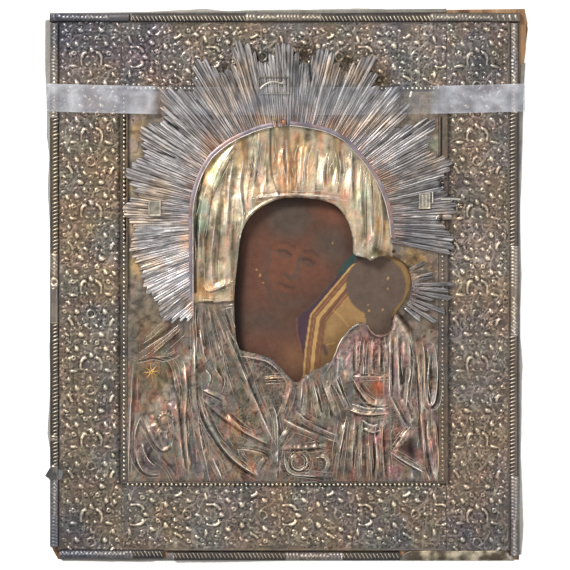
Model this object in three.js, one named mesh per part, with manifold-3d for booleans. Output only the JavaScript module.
// Icon panel: a wooden panel painting of a mother and child under an embossed silver cover.
// It lies on its back. Millimetres, +Z out of the painted face, +Y towards the top edge.
import * as THREE from 'three';
import { mergeVertices } from 'three/addons/utils/BufferGeometryUtils.js';
import Module from 'manifold-3d';

const wasm = await Module();
wasm.setup();

// Board
const boardWidth = 265.4;
const boardHeight = 310.4;
const boardThickness = 26;
const topEdgeRise = 3;
// How far the right edge stands out, at shares of the height
const rightEdgeFlare = [[0, 0], [0.694, 0], [0.855, 1.9], [0.913, 3], [0.974, 5.3], [0.995, 4.1], [1, 3.3]];
const lowerCornerLoss = 5;

// Sheets
const pieceGap = 0.3;
const sheetThickness = 0.6;

// Mouldings round the outer edge, and how far their axes lie inside the board's edges
const mouldingWidth = 5.5;
const mouldingHeight = 3.4;
const mouldingWander = 0.25;
const mouldingSeat = { left: 1.1, right: 2.9, top: 2, bottom: 3.4 };
// Breaks in the mouldings: where a run ends and the next starts, from the nearest corner
const topRun = { overhang: 1.5, end: 43.5, nextStart: 44.5, nextOverhang: 0.5 };
const leftRun = { end: 49.8, nextStart: 46, nextEnd: 7.6 };
const rightRunEnd = 2.4;
const bottomRun = { start: 4.3, end: 63.2, nextStart: 65.4, nextEnd: 67.8, sag: 0.8 };

// Border strips, with a plain band for the beads beside the window
const borderWidth = { left: 35.2, right: 35.4, top: 38.5, bottom: 37.5 };
const beadBandWidth = { left: 3.1, right: 4 };
const beadSetback = { left: 1.6, right: 2, top: 1.4, bottom: 1.4 };
const beadRidgeWidth = 1.6;
const beadRidgeHeight = 0.8;

// Stamped border pattern
const patternPitch = 43.3;
const patternHeight = 1.4;
const scrollRadius = 5;
const patternStartOnSides = 19.2;
const patternStartOnEnds = 9.1;

// Halo of stepped rays, in millimetres from the origin of the carving
const haloX = 0.3;
const haloY = 37.2;
const haloInner = 55.2;
const haloSideX = -53.7;
const haloRise = 0.036;
const haloThickness = 0.4;
const rayRidge = 0.8;
const raysInGroup = 7;
const groupPitch = 14.2;
const firstGroup = -8.4;
const haloStart = -11.8;
const haloEnd = 226;
const valleyRadius = 86.5;
const groupRadii = [96.5, 98.5, 99.5, 102.5, 103, 106, 102, 102.4, 107, 105.8, 104.6, 99.5,
  96.6, 94, 91.5, 89.8, 90.4];
const rimWidth = 1.8;
const rimHeight = 1.1;
const plaqueHeight = 0.4;
// Small framed plaques on the left, right and top rays: from and to across, from and to upwards
const plaques = [[-78.8, -71.6, 39.9, 48.9], [75.8, 83.8, 44.5, 52.7], [-16.2, 0.9, 111.2, 119.1]];

// Remnant of the child's halo
const childX = 51.2;
const childY = 0.6;
const childHaloInner = 20.6;
const childRayLengths = [11, 19, 12, 21, 12, 22, 20, 23, 12, 12, 9, 10];
const childHaloStart = -41;
const childHaloEnd = 30;
const childHaloRise = 0.05;
const childRimHeight = 0.5;

// The carving was drawn for a window of this size, its origin a little right of the middle.
const carvingWidth = 177.1;
const carvingHeight = 222.4;
const carvingOffset = 1.85;

// Opening that leaves the two painted heads bare
const openingCorners = [[-26.2, 27], [-24.6, 34.1], [-17.8, 42.9], [-11.1, 47.3], [-3.1, 49.8], [4.8, 50.5],
  [12.8, 50.3], [20.8, 48.6], [28.1, 45.2], [33.7, 39.7], [37.8, 27], [38, 17.3], [47.2, 15.6],
  [58, 15.4], [66, 11.6], [70.6, 4], [70.2, -4.6], [63.2, -15.4], [58.3, -24.9], [52.8, -27.7],
  [48, -24.9], [44.4, -19.4], [35.3, -24.2], [28, -37.7], [20.1, -46.5], [9.7, -49.6], [6.9, -55.6],
  [-1.4, -48.8], [-7.1, -42.1], [-20.8, -38.1], [-29, -29.7], [-29.9, -8.9]];

// Drapery
const garmentCell = 6.1;
const hoodHeight = 4.6;
const hoodSpread = 17;
const bodyHeight = 2;
const reliefLimit = 7;
// Folds: half width, height, then the ridge line
const folds = [
  [5, 2.7, [-84.4, -37.8], [-59.5, -20.8], [-48, -6]],
  [4, 2.4, [-88, -42], [-76.8, -38.9], [-67, -41.5], [-63.7, -55.9]],
  [4, 2, [-87.1, -46], [-88, -76], [-88.6, -108]],
  [5, 3, [-62.3, -38], [-55.4, -60], [-50, -82], [-42.4, -109]],
  [5, 3.3, [-52, -12], [-52.6, -35], [-51, -62], [-36, -76], [-5.8, -91.7]],
  [5, 3.3, [-40, -14], [-34.1, -42], [-29.9, -61.4]],
  [5, 3.6, [-37.5, -34], [-22.3, -54], [-14, -76], [-5.8, -91.7]],
  [5, 3.3, [-49.9, -64.2], [-43.7, -80], [-32.7, -95.2], [-13.4, -108]],
  [6, 3, [-82.3, -73.6], [-77, -89], [-70.6, -94.5], [-65, -84]],
  [4, 2.2, [-84.4, -93.5], [-82, -104], [-68, -106]],
  [5, 3.3, [-26, -42], [-17, -56], [-5, -70]],
  [4, 2.7, [1, -58], [-3, -72]],
  [4, 2.7, [9, -57], [7, -72]],
  [4, 2.7, [17, -54], [22, -76]],
  [4, 2.7, [24, -48], [31, -76]],
  [5, 3, [-4, -78], [12, -82], [29.2, -86.7]],
  [5, 2.7, [-4, -93], [10, -93], [25, -90]],
  [4, 3, [36, -32], [40, -48], [46, -66]],
  [4, 2.7, [46, -32], [49, -50]],
  [4, 2.7, [54, -34], [57, -52]],
  [4, 2.7, [34.7, -70.2], [46, -73.5], [59, -71.6]],
  [4, 2.7, [36, -76], [30, -108]],
  [4, 2.5, [44, -78], [46, -92], [44, -109]],
  [4, 2.5, [53, -76], [54, -110]],
  [4, 3, [61, -28], [64, -64], [68.5, -80.5], [60, -94], [76, -107]],
  [4, 3, [70, -30], [75, -66]],
  [4, 2.4, [78.6, -32], [81, -68], [82, -107]],
  [4, 2.7, [-32, 36], [-36, 12], [-36, -10]],
  [4, 2.7, [-43, 30], [-46, 8], [-44, -10]],
  [4, 3, [42, 44], [45, 34], [46, 24]],
];

// Side covers: share of the edge's length, and the old sheet's bulge there
const coverFoot = 1;
const coverHeadroom = 0.4;
const leftDents = [[0.99, 4.2], [0.926, 4.5], [0.823, 3], [0.778, 3.3], [0.739, 1.7], [0.684, 2.7],
  [0.63, 1.6], [0.549, 0.5], [0.462, 0], [0.388, 1.8], [0.32, 1], [0.23, 2.7], [0.188, 0.5], [0.14, 1],
  [0.022, 0.9]];
const rightDents = [[0.009, 1.2], [0.062, 2.4], [0.117, 1.8], [0.185, 0.7], [0.301, 1.3], [0.356, 1.8],
  [0.41, 0.3], [0.456, 0.4], [0.526, 1.2], [0.591, 0.5], [0.636, 0.1], [0.694, 1.2], [0.774, 0.8],
  [0.855, 0.4], [0.91, 0.1]];
const topDents = [[0.844, 0], [0.754, 0.1], [0.66, 1.2], [0.558, 0.9], [0.456, 1.1], [0.373, 0.4], [0.328, 2],
  [0.253, 1.2], [0.177, 0.2], [0.012, 0.1]];
const bottomDents = [[0.021, 0], [0.125, 0.9], [0.238, 0], [0.287, 1.5], [0.37, 1.4], [0.5, 0.3], [0.558, 0],
  [0.671, 0.4], [0.989, 0.3]];

// Adhesive tape: a later repair across the upper part
const tapeWidth = 15.9;
const tapeThickness = 0.25;
const tapeDrop = 39.6;
const tapeReachDown = 14;
const tapeStandOff = { left: 4.8, right: 3.6 };
const tapeOverHalo = 77;

// Nail heads on the halo's rim
const copperNail = { x: -1.4, y: 93.4, radius: 1.5 };
const brassNail = { x: -6.5, y: 95.1, radius: 1.3 };

// Levels and lines that follow from the sizes above
const sheetFoot = boardThickness + pieceGap;
const sheetFace = sheetFoot + sheetThickness;
const haloFoot = sheetFace + pieceGap + 0.1;
const left = -boardWidth / 2;
const right = boardWidth / 2;
const bottom = -boardHeight / 2;
const top = boardHeight / 2;
const mouldingAxis = {
  left: left + mouldingSeat.left,
  right: right - mouldingSeat.right,
  top: top - mouldingSeat.top,
  bottom: bottom + mouldingSeat.bottom,
};
const besideMoulding = mouldingWidth / 2 + mouldingWander + pieceGap;
const outer = {
  left: mouldingAxis.left + besideMoulding,
  right: mouldingAxis.right - besideMoulding,
  top: mouldingAxis.top - besideMoulding,
  bottom: mouldingAxis.bottom + besideMoulding,
};
const inner = {
  left: outer.left + borderWidth.left,
  right: outer.right - borderWidth.right,
  top: outer.top - borderWidth.top,
  bottom: outer.bottom + borderWidth.bottom,
};
const windowLeft = inner.left + beadBandWidth.left;
const windowRight = inner.right - beadBandWidth.right;
const windowWidth = windowRight - windowLeft;
const windowHeight = inner.top - inner.bottom;
const carvingScaleX = windowWidth / carvingWidth;
const carvingScaleY = windowHeight / carvingHeight;
const carvingX = (windowLeft + windowRight) / 2 + carvingOffset * carvingScaleX;
const carvingY = (inner.top + inner.bottom) / 2;

function closedGeometry(points, triangles) {
  const geometry = new THREE.BufferGeometry();
  geometry.setAttribute('position', new THREE.Float32BufferAttribute(points.flat(), 3));
  geometry.setIndex(triangles.flat());
  return geometry;
}

function solidOf(geometry) {
  const bare = geometry.clone();
  bare.deleteAttribute('normal');
  bare.deleteAttribute('uv');
  const merged = mergeVertices(bare, 1e-4);
  const mesh = new wasm.Mesh({
    numProp: 3,
    vertProperties: Float32Array.from(merged.attributes.position.array),
    triVerts: Uint32Array.from(merged.index.array),
  });
  return new wasm.Manifold(mesh);
}

function geometryOf(solid) {
  const mesh = solid.getMesh();
  const geometry = new THREE.BufferGeometry();
  geometry.setAttribute('position', new THREE.Float32BufferAttribute(mesh.vertProperties, 3));
  geometry.setIndex(new THREE.Uint32BufferAttribute(mesh.triVerts, 1));
  return geometry;
}

// Moves a geometry drawn in the carving's own frame to its place on the panel
function placeCarving(geometry) {
  geometry.scale(carvingScaleX, carvingScaleY, 1);
  geometry.translate(carvingX, carvingY, 0);
  return geometry;
}

// A flat plate with any outline between two heights
function plate(outline, low, high) {
  const shape = new THREE.Shape(outline.map(([x, y]) => new THREE.Vector2(x, y)));
  const geometry = new THREE.ExtrudeGeometry(shape, { depth: high - low, bevelEnabled: false });
  geometry.translate(0, 0, low);
  return geometry;
}

function box(fromX, toX, fromY, toY, fromZ, toZ) {
  const geometry = new THREE.BoxGeometry(toX - fromX, toY - fromY, toZ - fromZ);
  geometry.translate((fromX + toX) / 2, (fromY + toY) / 2, (fromZ + toZ) / 2);
  return geometry;
}

// Edge points of a grid, anticlockwise seen from above
function rimOf(columns, rows) {
  const across = columns + 1;
  const rim = [];
  for (let column = 0; column < columns; column += 1) rim.push(column);
  for (let row = 0; row < rows; row += 1) rim.push(row * across + columns);
  for (let column = columns; column > 0; column -= 1) rim.push(rows * across + column);
  for (let row = rows; row > 0; row -= 1) rim.push(row * across);
  return rim;
}

// A closed skin between two grids of points
function skin(columns, rows, upper, lower) {
  const points = [];
  const triangles = [];
  const across = columns + 1;
  const layer = across * (rows + 1);
  for (const pointAt of [upper, lower]) {
    for (let row = 0; row <= rows; row += 1) {
      for (let column = 0; column <= columns; column += 1) points.push(pointAt(column, row));
    }
  }
  for (let row = 0; row < rows; row += 1) {
    for (let column = 0; column < columns; column += 1) {
      const a = row * across + column;
      const b = a + 1;
      const c = a + across;
      const d = c + 1;
      triangles.push([a, b, d], [a, d, c]);
      triangles.push([layer + a, layer + d, layer + b], [layer + a, layer + c, layer + d]);
    }
  }
  const rim = rimOf(columns, rows);
  rim.forEach((here, index) => {
    const next = rim[(index + 1) % rim.length];
    triangles.push([here, layer + here, layer + next], [here, layer + next, next]);
  });
  return closedGeometry(points, triangles);
}

// A low ridge with a flat foot that follows a line
function ridge(line, halfWidth, foot, crest) {
  const points = [];
  const triangles = [];
  line.forEach(([x, y], index) => {
    const before = line[Math.max(index - 1, 0)];
    const after = line[Math.min(index + 1, line.length - 1)];
    const length = Math.hypot(after[0] - before[0], after[1] - before[1]);
    const sideX = -(after[1] - before[1]) / length * halfWidth;
    const sideY = (after[0] - before[0]) / length * halfWidth;
    points.push([x + sideX, y + sideY, foot], [x, y, crest], [x - sideX, y - sideY, foot]);
  });
  for (let index = 0; index < line.length - 1; index += 1) {
    for (let side = 0; side < 3; side += 1) {
      const a = index * 3 + side;
      const b = index * 3 + (side + 1) % 3;
      triangles.push([a, b, b + 3], [a, b + 3, a + 3]);
    }
  }
  const last = (line.length - 1) * 3;
  triangles.push([0, 2, 1], [last, last + 1, last + 2]);
  return closedGeometry(points, triangles);
}

// A pointed leaf, pressed up from the sheet
function leaf(x, y, length, width, degrees, foot, crest) {
  const turn = THREE.MathUtils.degToRad(degrees);
  const along = [Math.cos(turn) * length / 2, Math.sin(turn) * length / 2];
  const aside = [-Math.sin(turn) * width / 2, Math.cos(turn) * width / 2];
  const points = [
    [x + along[0], y + along[1], foot],
    [x + aside[0], y + aside[1], foot],
    [x - along[0], y - along[1], foot],
    [x - aside[0], y - aside[1], foot],
    [x, y, crest],
  ];
  return closedGeometry(points, [[0, 1, 4], [1, 2, 4], [2, 3, 4], [3, 0, 4], [0, 3, 2], [0, 2, 1]]);
}

function flareAt(share) {
  for (let index = 1; index < rightEdgeFlare.length; index += 1) {
    const [fromShare, fromFlare] = rightEdgeFlare[index - 1];
    const [toShare, toFlare] = rightEdgeFlare[index];
    const between = (share - fromShare) / (toShare - fromShare);
    if (share <= toShare) return fromFlare + (toFlare - fromFlare) * between;
  }
  return 0;
}

function buildBoard() {
  const rightEdge = rightEdgeFlare.map(([share, flare]) => [right + flare, bottom + share * boardHeight]);
  rightEdge[rightEdge.length - 1][1] += topEdgeRise;
  const outline = [[left, bottom + 1.1 * lowerCornerLoss], [left + 0.6 * lowerCornerLoss, bottom],
    ...rightEdge, [left, top]];
  const body = solidOf(plate(outline, 0, boardThickness));
  // Damage: wood lost from the face at the lower left corner, and a split in the upper right edge
  const loss = box(-9, 4, -12, 5, -lowerCornerLoss, 1);
  loss.rotateZ(0.6);
  loss.translate(left, bottom, boardThickness);
  const splitFoot = bottom + 0.93 * boardHeight;
  const splitDepth = boardThickness - 7;
  const split = box(right + 3.9, right + 9, splitFoot, splitFoot + 16, splitDepth, boardThickness + 1);
  return geometryOf(body.subtract(solidOf(loss)).subtract(solidOf(split)));
}

// A thin cover nailed along one side of the board, bulged and dented with age
function sideCover(dents, edgeAt, outward) {
  const rows = 3;
  const height = boardThickness - coverHeadroom - coverFoot;
  const pointAt = (away) => (column, row) => {
    const [share, bulge] = dents[column];
    const [x, y] = edgeAt(share);
    const up = row / rows;
    const out = away + bulge * Math.sin(Math.PI * up);
    return [x + outward[0] * out, y + outward[1] * out, coverFoot + height * up];
  };
  return skin(dents.length - 1, rows, pointAt(pieceGap + sheetThickness), pointAt(pieceGap));
}

function buildSideCovers() {
  const leftEdge = (share) => [left, bottom + share * boardHeight];
  const rightEdge = (share) => [right + flareAt(share), bottom + share * boardHeight];
  const topSlope = topEdgeRise / (boardWidth + rightEdgeFlare.at(-1)[1]);
  const topEdge = (share) => [left + share * boardWidth, top + share * boardWidth * topSlope];
  const bottomEdge = (share) => [left + share * boardWidth, bottom];
  return {
    side_cover_left: sideCover(leftDents, leftEdge, [-1, 0]),
    side_cover_right: sideCover(rightDents, rightEdge, [1, 0]),
    side_cover_top: sideCover(topDents, topEdge, [0, 1]),
    side_cover_bottom: sideCover(bottomDents, bottomEdge, [0, -1]),
  };
}

// One repeat of the border pattern, across and along the strip
function patternPieces() {
  const foot = sheetFace - sheetThickness / 3;
  const crest = sheetFace + patternHeight;
  const pieces = [];
  for (const side of [-1, 1]) {
    const scroll = [];
    for (let step = 0; step <= 4; step += 1) {
      const angle = THREE.MathUtils.degToRad(-78 + step * 39);
      scroll.push([side * (0.9 + scrollRadius * Math.cos(angle)), 0.94 * scrollRadius * Math.sin(angle)]);
    }
    pieces.push(ridge(side > 0 ? scroll : scroll.reverse(), 0.9, foot, crest));
    pieces.push(leaf(side * 8.6, 8.6, 5.4, 3, 90 - side * 35, foot, crest));
    pieces.push(leaf(side * 13.2, -18, 5, 2.8, 90 - side * 20, foot, crest));
    pieces.push(leaf(side * 5.8, 18.6, 5.2, 2.6, side * 12, foot, crest));
  }
  pieces.push(leaf(0, -14.5, 5, 5, 0, foot, crest));
  return pieces;
}

// A border strip: a plate with the pattern and the bead ridge pressed up
function borderStrip(outline, axis, firstAt, endAt, upright, beadLine) {
  const plateSolid = solidOf(plate(outline, sheetFoot, sheetFace));
  const allowed = solidOf(plate(outline, sheetFoot, sheetFace + 2 * patternHeight));
  const beadFoot = sheetFace - sheetThickness / 3;
  const motifs = [ridge(beadLine, beadRidgeWidth / 2, beadFoot, sheetFace + beadRidgeHeight)];
  for (let along = firstAt; along < endAt + patternPitch / 2; along += patternPitch) {
    for (const piece of patternPieces()) {
      if (!upright) piece.rotateZ(-Math.PI / 2);
      piece.translate(upright ? axis : along, upright ? along : axis, 0);
      motifs.push(piece);
    }
  }
  const pressed = motifs.reduce((whole, motif) => whole.add(solidOf(motif).intersect(allowed)), plateSolid);
  return geometryOf(pressed);
}

function buildBorders() {
  const bandTop = inner.top - pieceGap;
  const bandBottom = inner.bottom + pieceGap;
  const leftOutline = [[outer.left, outer.bottom], [inner.left, outer.bottom], [inner.left, bandBottom],
    [windowLeft, bandBottom], [windowLeft, bandTop], [inner.left, bandTop], [inner.left, outer.top],
    [outer.left, outer.top]];
  const rightOutline = [[inner.right, outer.bottom], [outer.right, outer.bottom], [outer.right, outer.top],
    [inner.right, outer.top], [inner.right, bandTop], [windowRight, bandTop], [windowRight, bandBottom],
    [inner.right, bandBottom]];
  const endLeft = inner.left + pieceGap;
  const endRight = inner.right - pieceGap;
  const acrossEnds = (low, high) => [[endLeft, low], [endRight, low], [endRight, high], [endLeft, high]];
  const uprightBeads = (x) => [[x, bandBottom], [x, bandTop]];
  const levelBeads = (y) => [[endLeft, y], [endRight, y]];
  const sideStart = outer.bottom + patternStartOnSides;
  const endStart = endLeft + patternStartOnEnds;
  const middleOf = (edge) => (outer[edge] + inner[edge]) / 2;
  return {
    border_left: borderStrip(leftOutline, middleOf('left'), sideStart, outer.top, true,
      uprightBeads(windowLeft - beadSetback.left)),
    border_right: borderStrip(rightOutline, middleOf('right'), sideStart, outer.top, true,
      uprightBeads(windowRight + beadSetback.right)),
    border_top: borderStrip(acrossEnds(inner.top, outer.top), middleOf('top'), endStart, endRight, false,
      levelBeads(inner.top + beadSetback.top)),
    border_bottom: borderStrip(acrossEnds(outer.bottom, inner.bottom), middleOf('bottom'), endStart, endRight,
      false, levelBeads(inner.bottom - beadSetback.bottom)),
  };
}

// A half-round moulding that wanders a little along its run
function moulding(from, to, wander, seed) {
  const segments = 4;
  const sides = 5;
  const [fromX, fromY] = from;
  const [toX, toY] = to;
  const length = Math.hypot(toX - fromX, toY - fromY);
  const alongX = (toX - fromX) / length;
  const alongY = (toY - fromY) / length;
  const points = [];
  const triangles = [];
  const around = sides + 1;
  for (let index = 0; index <= segments; index += 1) {
    const share = index / segments;
    const shift = wander * Math.sin(Math.PI * share) * Math.sin(5 * share + seed);
    const x = fromX + (toX - fromX) * share - alongY * shift;
    const y = fromY + (toY - fromY) * share + alongX * shift;
    for (let side = 0; side <= sides; side += 1) {
      const angle = Math.PI * side / sides;
      const aside = Math.cos(angle) * mouldingWidth / 2;
      points.push([x - alongY * aside, y + alongX * aside, sheetFoot + Math.sin(angle) * mouldingHeight]);
    }
  }
  for (let index = 0; index < segments; index += 1) {
    for (let side = 0; side < around; side += 1) {
      const a = index * around + side;
      const b = index * around + (side + 1) % around;
      triangles.push([a, b, b + around], [a, b + around, a + around]);
    }
  }
  const last = segments * around;
  for (let side = 1; side < sides; side += 1) {
    triangles.push([0, side + 1, side], [last, last + side, last + side + 1]);
  }
  return closedGeometry(points, triangles);
}

// The runs stop where the real ones are broken, measured from the nearest corner of the board.
function buildMouldings() {
  const axis = mouldingAxis;
  const upper = axis.top - besideMoulding;
  const wander = mouldingWander;
  return {
    moulding_top_left: moulding([left - topRun.overhang, axis.top],
      [left + topRun.end, axis.top - 0.2], 0, 0),
    moulding_top: moulding([left + topRun.nextStart, axis.top - 0.2], [right + topRun.nextOverhang, axis.top],
      wander, 1),
    moulding_left_upper: moulding([axis.left, upper], [axis.left + 0.2, bottom + leftRun.end], -wander, 2),
    moulding_left_lower: moulding([axis.left + 0.2, bottom + leftRun.nextStart],
      [axis.left + 0.2, bottom + leftRun.nextEnd], 0, 0),
    moulding_right: moulding([axis.right, upper], [axis.right, bottom + rightRunEnd], wander, 1.4),
    moulding_bottom_left: moulding([left + bottomRun.start, axis.bottom],
      [left + bottomRun.end, axis.bottom - 0.1], 0, 0),
    moulding_bottom: moulding([left + bottomRun.nextStart, axis.bottom - bottomRun.sag],
      [right - bottomRun.nextEnd, axis.bottom - 2 * bottomRun.sag], wander, 2),
  };
}

function haloUnderside(radius) {
  return haloFoot + haloRise * (radius - haloInner);
}

// A fan of rays side by side: each has its own length and one ridge along its middle,
// and a raised rim runs along the inner ends.
function rayFan(centreX, centreY, edges, innerAt, rimAt, lengths, foot) {
  const points = [];
  const triangles = [];
  const add = (degrees, radius, lift) => {
    const angle = THREE.MathUtils.degToRad(degrees);
    const along = [centreX + Math.cos(angle) * radius, centreY + Math.sin(angle) * radius];
    points.push([...along, foot(radius) + lift]);
    return points.length - 1;
  };
  const quad = (a, b, c, d) => triangles.push([a, b, c], [a, c, d]);
  const column = (degrees, radius) => ({
    low: add(degrees, radius, 0),
    high: add(degrees, radius, haloThickness),
  });
  const sides = edges.map((degrees, index) => {
    const before = lengths[Math.max(index - 1, 0)];
    const after = lengths[Math.min(index, lengths.length - 1)];
    const near = column(degrees, Math.min(before, after));
    const far = before === after ? near : column(degrees, Math.max(before, after));
    const start = innerAt(degrees);
    return {
      start: column(degrees, start),
      rim: add(degrees, start + rimWidth / 2, haloThickness + rimAt(degrees)),
      inner: { high: add(degrees, start + rimWidth, haloThickness) },
      near,
      far,
    };
  });
  lengths.forEach((reach, index) => {
    const after = sides[index + 1];
    const before = sides[index];
    const half = Math.cos(THREE.MathUtils.degToRad((edges[index + 1] - edges[index]) / 2));
    const middle = (edges[index] + edges[index + 1]) / 2;
    const start = ((innerAt(edges[index]) + innerAt(edges[index + 1])) / 2 + rimWidth) * half;
    const crestIn = add(middle, start, haloThickness + rayRidge);
    const crestOut = add(middle, reach * half, haloThickness + rayRidge);
    const passesAfter = index + 1 < lengths.length && reach > lengths[index + 1];
    const passesBefore = index > 0 && reach > lengths[index - 1];
    const afterEnd = passesAfter ? after.far : after.near;
    const beforeEnd = passesBefore ? before.far : before.near;
    const afterSide = passesAfter ? [after.near, after.far] : [after.near];
    const beforeSide = passesBefore ? [before.near, before.far] : [before.near];
    triangles.push([crestIn, beforeEnd.high, crestOut], [crestIn, crestOut, afterEnd.high]);
    [after.inner, ...afterSide].forEach((point, step, side) => {
      if (step > 0) triangles.push([crestIn, point.high, side[step - 1].high]);
    });
    [before.inner, ...beforeSide].forEach((point, step, side) => {
      if (step > 0) triangles.push([crestIn, side[step - 1].high, point.high]);
    });
    triangles.push([after.inner.high, before.inner.high, crestIn]);
    quad(after.rim, before.rim, before.inner.high, after.inner.high);
    quad(after.start.high, before.start.high, before.rim, after.rim);
    quad(after.start.low, before.start.low, before.start.high, after.start.high);
    // The flat underside runs straight from the inner edge to the tip.
    quad(after.start.low, after.near.low, before.near.low, before.start.low);
    if (passesAfter && passesBefore) {
      quad(after.near.low, after.far.low, before.far.low, before.near.low);
    } else if (passesAfter) triangles.push([after.near.low, after.far.low, before.near.low]);
    else if (passesBefore) triangles.push([after.near.low, before.far.low, before.near.low]);
    triangles.push([beforeEnd.low, afterEnd.low, afterEnd.high], [beforeEnd.low, afterEnd.high, crestOut]);
    triangles.push([beforeEnd.low, crestOut, beforeEnd.high]);
    if (passesAfter) {
      quad(after.far.low, after.near.low, after.near.high, after.far.high);
    }
    if (passesBefore) {
      quad(before.near.low, before.far.low, before.far.high, before.near.high);
    }
    if (index + 1 === lengths.length) {
      quad(after.near.low, after.start.low, after.start.high, after.rim);
      quad(after.near.low, after.rim, after.inner.high, after.near.high);
    }
    if (index === 0) {
      quad(before.start.low, before.near.low, before.near.high, before.inner.high);
      quad(before.start.low, before.inner.high, before.rim, before.start.high);
    }
  });
  return closedGeometry(points, triangles);
}

// The halo's inner edge is round, runs straight down on the left, and is cut back at its right end.
function haloInnerAt(degrees) {
  const straight = (haloX - haloSideX) / Math.abs(Math.cos(THREE.MathUtils.degToRad(degrees)));
  if (degrees > 180) return Math.max(haloInner, straight);
  if (degrees < -4) return haloInner + (-4 - degrees) * 3.4;
  return haloInner;
}

// The rays of a group step up to the middle one.
function haloOuterAt(degrees) {
  const group = Math.round((degrees - firstGroup) / groupPitch);
  const index = Math.min(Math.max(group, 0), groupRadii.length - 1);
  const offset = Math.abs(degrees - firstGroup - group * groupPitch) / (groupPitch / 2);
  const steps = (raysInGroup + 1) / 2;
  const share = Math.min(1, Math.round((1 - offset) * steps) / steps * 1.15);
  const radius = valleyRadius + (groupRadii[index] - valleyRadius) * share;
  const cutBack = Math.max(0, degrees - haloEnd + 7) * 1.4;
  return radius - cutBack;
}

function smoothStep(low, high, value) {
  const share = Math.min(1, Math.max(0, (value - low) / (high - low)));
  return share * share * (3 - 2 * share);
}

function buildHalo() {
  const rayPitch = groupPitch / raysInGroup;
  const edges = [];
  for (let degrees = firstGroup - groupPitch / 2; degrees <= haloEnd; degrees += rayPitch) {
    if (degrees >= haloStart) edges.push(degrees);
  }
  const lengths = edges.slice(1).map((degrees) => haloOuterAt(degrees - rayPitch / 2));
  const rimAt = (degrees) => rimHeight * smoothStep(-6, -3, degrees);
  const rays = solidOf(rayFan(haloX, haloY, edges, haloInnerAt, rimAt, lengths, haloUnderside));
  const whole = plaques.reduce((sum, [fromX, toX, fromY, toY]) => {
    const nearX = Math.min(Math.abs(fromX - haloX), Math.abs(toX - haloX));
    const nearY = Math.max(0, fromY - haloY);
    const foot = haloUnderside(Math.hypot(nearX, nearY)) + haloThickness * 0.8;
    const crest = foot + rayRidge + plaqueHeight + haloThickness;
    return sum.add(solidOf(box(fromX, toX, fromY, toY, foot, crest)));
  }, rays);
  return placeCarving(geometryOf(whole));
}

function buildChildHalo() {
  const count = childRayLengths.length;
  const edges = [];
  for (let index = 0; index <= count; index += 1) {
    edges.push(childHaloStart + (childHaloEnd - childHaloStart) * index / count);
  }
  const lengths = childRayLengths.map((length) => childHaloInner + length);
  const foot = (radius) => haloFoot + childHaloRise * (radius - childHaloInner);
  const fan = rayFan(childX, childY, edges, () => childHaloInner, () => childRimHeight, lengths, foot);
  return placeCarving(fan);
}

function nearestOnLine(x, y, line, closed) {
  let best = { distance: Infinity, x, y };
  const count = closed ? line.length : line.length - 1;
  for (let index = 0; index < count; index += 1) {
    const [ax, ay] = line[index];
    const [bx, by] = line[(index + 1) % line.length];
    const spanX = bx - ax;
    const spanY = by - ay;
    const share = Math.min(1, Math.max(0, ((x - ax) * spanX + (y - ay) * spanY) / (spanX ** 2 + spanY ** 2)));
    const nearX = ax + spanX * share;
    const nearY = ay + spanY * share;
    const distance = Math.hypot(x - nearX, y - nearY);
    if (distance < best.distance) best = { distance, x: nearX, y: nearY };
  }
  return best;
}

// How freely the drapery may rise: not at all under the two halos
function freedomUnderHalos(x, y) {
  const radius = Math.hypot(x - haloX, y - haloY);
  const degrees = (THREE.MathUtils.radToDeg(Math.atan2(y - haloY, x - haloX)) + 450) % 360 - 90;
  const inSweep = smoothStep(haloStart - 12, haloStart - 7, degrees)
    * (1 - smoothStep(haloEnd + 6, haloEnd + 12, degrees));
  const underHalo = inSweep * smoothStep(haloInner - 9.2, haloInner - 5.2, radius);
  const childRadius = Math.hypot(x - childX, y - childY);
  const childDegrees = THREE.MathUtils.radToDeg(Math.atan2(y - childY, x - childX));
  const inChildSweep = smoothStep(childHaloStart - 19, childHaloStart - 9, childDegrees)
    * (1 - smoothStep(childHaloEnd + 8, childHaloEnd + 16, childDegrees));
  const childReach = childHaloInner + Math.max(...childRayLengths);
  const underChild = inChildSweep * smoothStep(childHaloInner - 6.6, childHaloInner - 3.6, childRadius)
    * (1 - smoothStep(childReach + 2, childReach + 6, childRadius));
  return (1 - underHalo) * (1 - underChild);
}

// Height of the drapery above the flat of the sheet, in the carving's frame
function drapery(x, y) {
  const fromOpening = nearestOnLine(x, y, openingCorners, true).distance;
  const hood = hoodHeight * Math.exp(-((fromOpening / hoodSpread) ** 2));
  const body = bodyHeight * smoothStep(-112, -98, y) * (1 - smoothStep(-30, -2, y))
    * smoothStep(-90, -74, x) * (1 - smoothStep(70, 86, x));
  let height = Math.max(hood, body);
  for (const [halfWidth, rise, ...line] of folds) {
    const near = nearestOnLine(x, y, line, false).distance;
    height = Math.max(height, body + rise * Math.max(0, 1 - near / halfWidth));
  }
  return Math.min(height, reliefLimit) * freedomUnderHalos(x, y);
}

// Grid points near a fold are drawn onto its ridge, so that the ridge stays sharp.
function drawnToFold(x, y, reachX, reachY) {
  for (const [, , ...line] of folds) {
    const near = nearestOnLine(x, y, line, false);
    if (Math.abs(near.x - x) < reachX && Math.abs(near.y - y) < reachY) return [near.x, near.y];
  }
  return [x, y];
}

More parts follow.
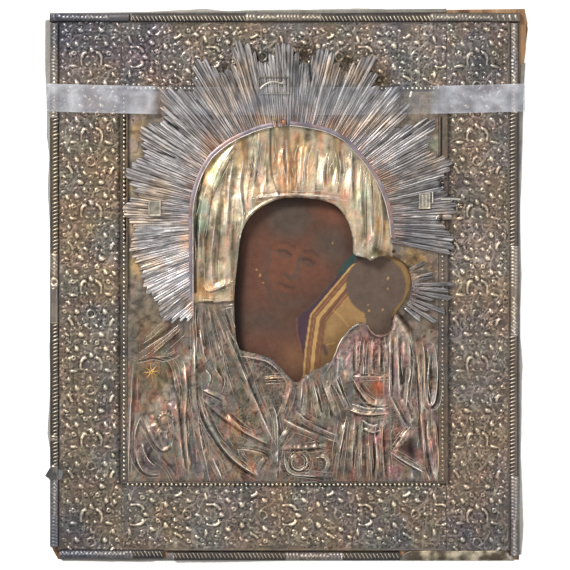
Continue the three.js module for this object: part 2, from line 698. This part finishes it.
function buildGarment() {
  const fromX = windowLeft + pieceGap;
  const toX = windowRight - pieceGap;
  const fromY = inner.bottom + pieceGap;
  const toY = inner.top - pieceGap;
  const columns = Math.round((toX - fromX) / garmentCell);
  const rows = Math.round((toY - fromY) / garmentCell);
  const cellX = (toX - fromX) / columns;
  const cellY = (toY - fromY) / rows;
  const reachX = 0.44 * cellX / carvingScaleX;
  const reachY = 0.44 * cellY / carvingScaleY;
  const points = [];
  const triangles = [];
  for (let row = 0; row <= rows; row += 1) {
    for (let column = 0; column <= columns; column += 1) {
      const x = fromX + column * cellX;
      const y = fromY + row * cellY;
      const onEdge = row === 0 || row === rows || column === 0 || column === columns;
      if (onEdge) {
        points.push([x, y, sheetFace]);
      } else {
        const carved = [(x - carvingX) / carvingScaleX, (y - carvingY) / carvingScaleY];
        const [u, v] = drawnToFold(...carved, reachX, reachY);
        const placed = [carvingX + u * carvingScaleX, carvingY + v * carvingScaleY];
        points.push([...placed, sheetFace + drapery(u, v)]);
      }
    }
  }
  for (let row = 0; row < rows; row += 1) {
    for (let column = 0; column < columns; column += 1) {
      const a = row * (columns + 1) + column;
      const b = a + 1;
      const c = a + columns + 1;
      const d = c + 1;
      const steeper = Math.abs(points[a][2] - points[d][2]) > Math.abs(points[b][2] - points[c][2]);
      if (steeper) triangles.push([a, b, c], [b, d, c]);
      else triangles.push([a, b, d], [a, d, c]);
    }
  }
  const rim = rimOf(columns, rows);
  const low = points.length;
  for (const index of rim) points.push([points[index][0], points[index][1], sheetFoot]);
  const hub = points.length;
  points.push([(fromX + toX) / 2, (fromY + toY) / 2, sheetFoot]);
  rim.forEach((here, index) => {
    const following = (index + 1) % rim.length;
    triangles.push([here, low + index, low + following], [here, low + following, rim[following]]);
    triangles.push([hub, low + following, low + index]);
  });
  const cutter = plate(openingCorners.slice().reverse(), boardThickness, sheetFace + 2 * reliefLimit);
  const opening = placeCarving(cutter);
  return geometryOf(solidOf(closedGeometry(points, triangles)).subtract(solidOf(opening)));
}

// Clear adhesive tape laid across the upper part and down both sides
function buildTape() {
  const overMoulding = sheetFoot + mouldingHeight + pieceGap + 0.1;
  const overStrip = sheetFace + patternHeight + 3 * pieceGap;
  const overHalo = haloUnderside(Math.max(...groupRadii)) + haloThickness + rayRidge + pieceGap;
  const leftX = left - tapeStandOff.left;
  const rightX = right + tapeStandOff.right;
  const haloHalf = tapeOverHalo * carvingScaleX;
  const lowEnd = boardThickness - tapeReachDown;
  const line = [
    [leftX, lowEnd], [leftX, boardThickness - 6], [left - 3.5, boardThickness + 0.5],
    [left - 1.5, overMoulding - 0.7], [mouldingAxis.left, overMoulding],
    [outer.left + 0.7, overMoulding - 0.2],
    [outer.left + 4.7, overStrip], [windowLeft + 2.4, overStrip], [carvingX - haloHalf, overHalo],
    [carvingX + haloHalf, overHalo], [windowRight - 0.7, overStrip], [outer.right - 4.7, overStrip],
    [outer.right - 0.5, overMoulding - 0.2], [mouldingAxis.right, overMoulding],
    [mouldingAxis.right + 3.2, overMoulding - 0.5], [right + 3.1, boardThickness + 0.5],
    [rightX, boardThickness - 6], [rightX, lowEnd],
  ];
  const upper = line.map(([x, z], index) => {
    const before = line[Math.max(index - 1, 0)];
    const after = line[Math.min(index + 1, line.length - 1)];
    const length = Math.hypot(after[0] - before[0], after[1] - before[1]);
    const awayX = -(after[1] - before[1]) / length;
    const awayZ = (after[0] - before[0]) / length;
    return [x + awayX * tapeThickness, z + awayZ * tapeThickness];
  });
  const profile = line.concat(upper.reverse());
  const shape = new THREE.Shape(profile.map(([x, z]) => new THREE.Vector2(x, z)));
  const geometry = new THREE.ExtrudeGeometry(shape, { depth: tapeWidth, bevelEnabled: false });
  geometry.rotateX(Math.PI / 2);
  geometry.translate(0, top - tapeDrop, 0);
  return geometry;
}

function buildNail({ x, y, radius }) {
  const height = 0.7 * radius;
  const profile = [[0, 0], [radius, 0], [0.9 * radius, 0.5 * height], [0.45 * radius, 0.9 * height],
    [0, height]];
  const geometry = new THREE.LatheGeometry(profile.map(([r, z]) => new THREE.Vector2(r, z)), 7);
  geometry.rotateX(Math.PI / 2);
  const foot = haloUnderside(haloInner) + haloThickness + rimHeight + pieceGap;
  geometry.translate(carvingX + x * carvingScaleX, carvingY + y * carvingScaleY, foot);
  return geometryOf(solidOf(geometry));
}

const silver = new THREE.MeshStandardMaterial({ color: 0x8d857b, roughness: 0.42, metalness: 0.9 });
const haloSilver = new THREE.MeshStandardMaterial({ color: 0x8a8784, roughness: 0.4, metalness: 0.9 });
const sideSilver = new THREE.MeshStandardMaterial({ color: 0xa8a49e, roughness: 0.5, metalness: 0.85 });
const wood = new THREE.MeshStandardMaterial({ color: 0x4a3122, roughness: 0.75 });
const clearTape = new THREE.MeshStandardMaterial({
  color: 0xc8ccd6, roughness: 0.35, transparent: true, opacity: 0.4,
});
const copper = new THREE.MeshStandardMaterial({ color: 0x9a5f3d, roughness: 0.45, metalness: 0.8 });
const brass = new THREE.MeshStandardMaterial({ color: 0x8c7a4a, roughness: 0.5, metalness: 0.8 });

const pieces = [['board', buildBoard(), wood]];
for (const [name, geometry] of Object.entries(buildSideCovers())) pieces.push([name, geometry, sideSilver]);
for (const [name, geometry] of Object.entries(buildBorders())) pieces.push([name, geometry, silver]);
for (const [name, geometry] of Object.entries(buildMouldings())) pieces.push([name, geometry, silver]);
pieces.push(['garment_sheet', buildGarment(), silver]);
pieces.push(['halo', buildHalo(), haloSilver]);
pieces.push(['child_halo', buildChildHalo(), haloSilver]);
pieces.push(['tape_strip', buildTape(), clearTape]);
pieces.push(['nail_copper', buildNail(copperNail), copper]);
pieces.push(['nail_brass', buildNail(brassNail), brass]);

// The whole is centred over the origin, and its back lies at height zero.
const bounds = new THREE.Box3();
for (const [, geometry] of pieces) {
  geometry.computeBoundingBox();
  bounds.union(geometry.boundingBox);
}
const centre = bounds.getCenter(new THREE.Vector3());

const group = new THREE.Group();
group.name = 'icon_panel';
for (const [name, geometry, material] of pieces) {
  geometry.translate(-centre.x, -centre.y, -bounds.min.z);
  const flat = geometry.index ? geometry.toNonIndexed() : geometry;
  flat.deleteAttribute('uv');
  flat.computeVertexNormals();
  const mesh = new THREE.Mesh(flat, material);
  mesh.name = name;
  group.add(mesh);
}

export default group;
